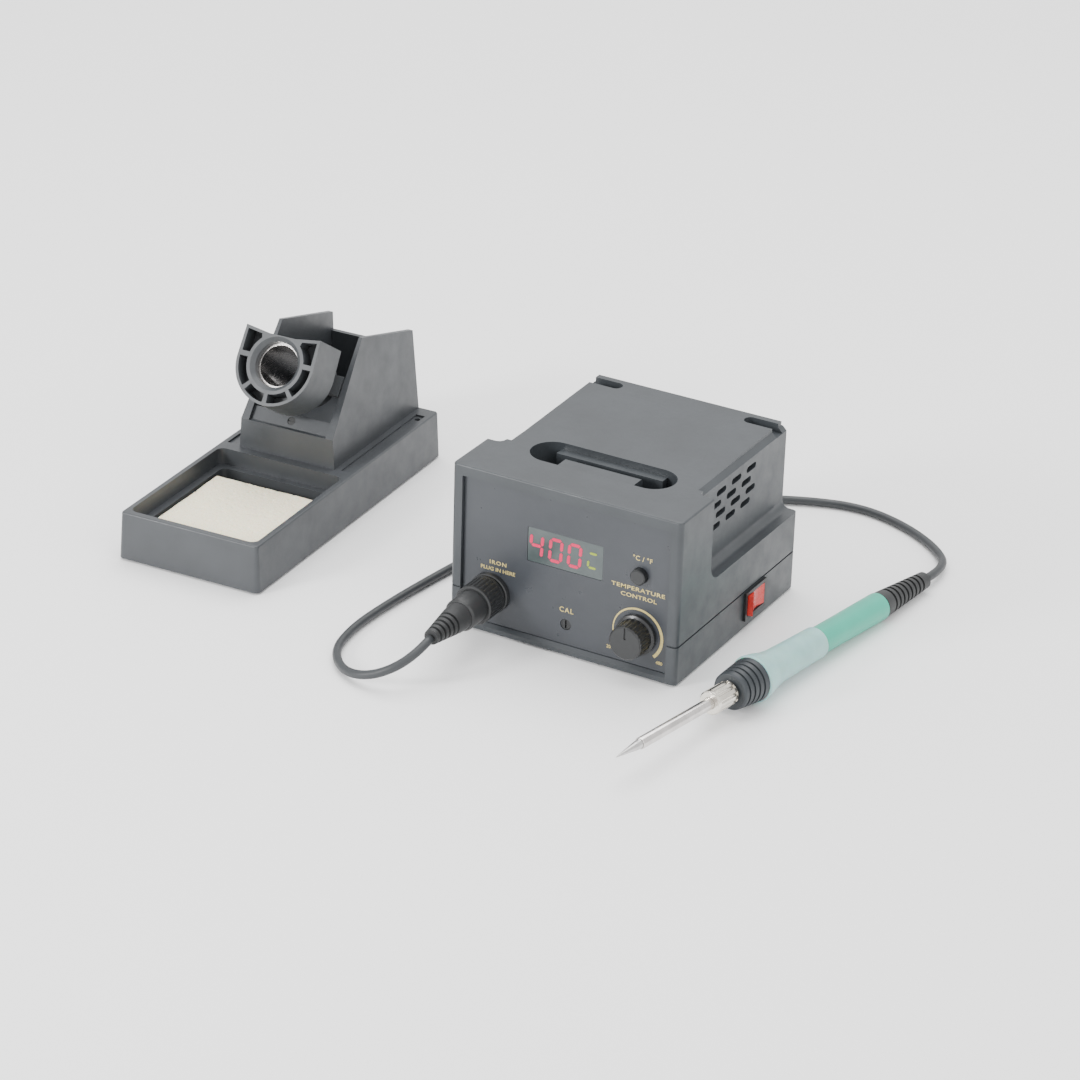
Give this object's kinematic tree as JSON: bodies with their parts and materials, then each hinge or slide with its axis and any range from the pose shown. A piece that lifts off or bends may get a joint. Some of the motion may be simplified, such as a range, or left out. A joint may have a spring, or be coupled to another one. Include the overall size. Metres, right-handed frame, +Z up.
{
  "type": "soldering iron station",
  "caption": "Temperature controlled soldering station with display, knob, button and rocker switch, a corded iron, and a stand with tilting receptacle and sponge.",
  "frame": {"origin": "on the table, at the bottom centre of the set: station, iron and stand, without the cord and its plug", "axes": "+X to the user's right along the row of stand, station and iron; +Y away from the user; +Z up"},
  "size_m": [0.3544, 0.3101, 0.094],
  "materials": {
    "case": "satin, fine texture",
    "fascia": "satin",
    "window": "dark red tint, polished",
    "display": "diffusing",
    "board": "solder resist",
    "electronics": "mixed components",
    "knob": "matt",
    "button": "gloss",
    "contact": "plain",
    "socket": "matt",
    "nickel": "bright plated",
    "steel": "turned",
    "zinc": "zinc plated",
    "black_plastic": "matt",
    "rocker": "gloss",
    "winding": "taped",
    "core": "varnished laminations",
    "glass": "clear",
    "tip": "iron plated, tinned point",
    "ceramic": "ceramic",
    "handle": "satin",
    "sleeve": "soft, slightly translucent",
    "rubber": "matt",
    "cord": "satin",
    "stand": "satin, fine texture",
    "foot": "matt",
    "sponge": "open cell"
  },
  "bodies": {
    "station_and_stand": {"upper_housing": "case", "base_housing": "case", "case_screws": "zinc", "station_feet": "foot", "front_panel": "fascia", "display_window": "window", "display_module": "display", "control_board": "board", "potentiometer_body": "zinc", "unit_contact": "contact", "trimmer_body": "electronics", "iron_socket": "socket", "socket_nut": "nickel", "plug_pins": "nickel", "plug_body": "socket", "plug_boot": "rubber", "power_switch": "black_plastic", "mains_inlet": "black_plastic", "inlet_pins": "nickel", "fuse_holder": "black_plastic", "fuse": "glass", "transformer_core": "core", "transformer_winding": "winding", "transformer_strap": "zinc", "strap_screws": "zinc", "board_components": "electronics", "board_screws": "zinc", "cord_coil": "cord", "cord_tie": "black_plastic", "cord_to_iron": "cord", "cord_to_plug": "cord", "stand_base": "stand", "stand_feet": "foot", "stand_weight": "steel", "stand_screws": "zinc", "holder_housing": "stand", "tilt_pins": "steel", "tilt_lock_screw": "zinc"},
    "temperature_knob": {"temperature_knob": "knob", "potentiometer_shaft": "steel"},
    "unit_button": {"unit_button": "button"},
    "trimmer_rotor": {"trimmer_rotor": "contact"},
    "power_rocker": {"power_rocker": "rocker"},
    "fuse_cap": {"fuse_cap": "black_plastic"},
    "plug_ring": {"plug_ring": "black_plastic"},
    "iron_handle": {"front_collar": "black_plastic", "heater_mount": "steel", "heater_element": "ceramic", "handle": "handle", "grip_sleeve": "sleeve", "strain_relief": "rubber"},
    "iron_barrel": {"soldering_tip": "tip", "barrel": "steel"},
    "barrel_nut": {"barrel_nut": "nickel"},
    "iron_receptacle": {"holder_cup": "black_plastic", "holder_liner": "steel"},
    "sponge": {"sponge": "sponge"}
  },
  "joints": [
    {"name": "knob_turn", "type": "hinge", "parent": "station_and_stand", "child": "temperature_knob", "pos_m": [0.09735, -0.0298, 0.0211], "axis": [0, -1, 0], "range_deg": [-87, 213]},
    {"name": "unit_press", "type": "slide", "parent": "station_and_stand", "child": "unit_button", "axis": [0, 1, 0], "range_m": [0, 0.001], "stiffness_N_per_m": 400, "springref_m": -0.001},
    {"name": "trimmer_turn", "type": "hinge", "parent": "station_and_stand", "child": "trimmer_rotor", "pos_m": [0.06005, -0.0278, 0.0154], "axis": [0, -1, 0], "range_deg": [-135, 135]},
    {"name": "power_rock", "type": "hinge", "parent": "station_and_stand", "child": "power_rocker", "pos_m": [0.11805, 0.0475, 0.0125], "axis": [0, 0, 1], "range_deg": [-16, 0]},
    {"name": "fuse_cap_turn", "type": "hinge", "parent": "station_and_stand", "child": "fuse_cap", "pos_m": [0.07305, 0.0922, 0.05], "axis": [0, 1, 0], "range_deg": [0, 90]},
    {"name": "plug_ring_turn", "type": "hinge", "parent": "station_and_stand", "child": "plug_ring", "pos_m": [0.02005, -0.0398, 0.0212], "axis": [0, -1, 0], "continuous": true},
    {"name": "iron_lift", "type": "slide", "parent": "station_and_stand", "child": "iron_handle", "axis": [0, 0, 1], "range_m": [0, 0.05]},
    {"name": "barrel_pull", "type": "slide", "parent": "iron_handle", "child": "iron_barrel", "axis": [-0.1321, -0.9903, 0.0419], "range_m": [0, 0.05]},
    {"name": "nut_turn", "type": "hinge", "parent": "iron_barrel", "child": "barrel_nut", "pos_m": [0.15062, -0.04617, 0.01243], "axis": [-0.1321, -0.9903, 0.0419], "continuous": true},
    {"name": "receptacle_tilt", "type": "hinge", "parent": "station_and_stand", "child": "iron_receptacle", "pos_m": [-0.13522, 0.05576, 0.0599], "axis": [0.999, 0.0436, 0], "range_deg": [-15, 8]},
    {"name": "sponge_lift", "type": "slide", "parent": "station_and_stand", "child": "sponge", "axis": [0, 0, 1], "range_m": [0, 0.03]}
  ]
}
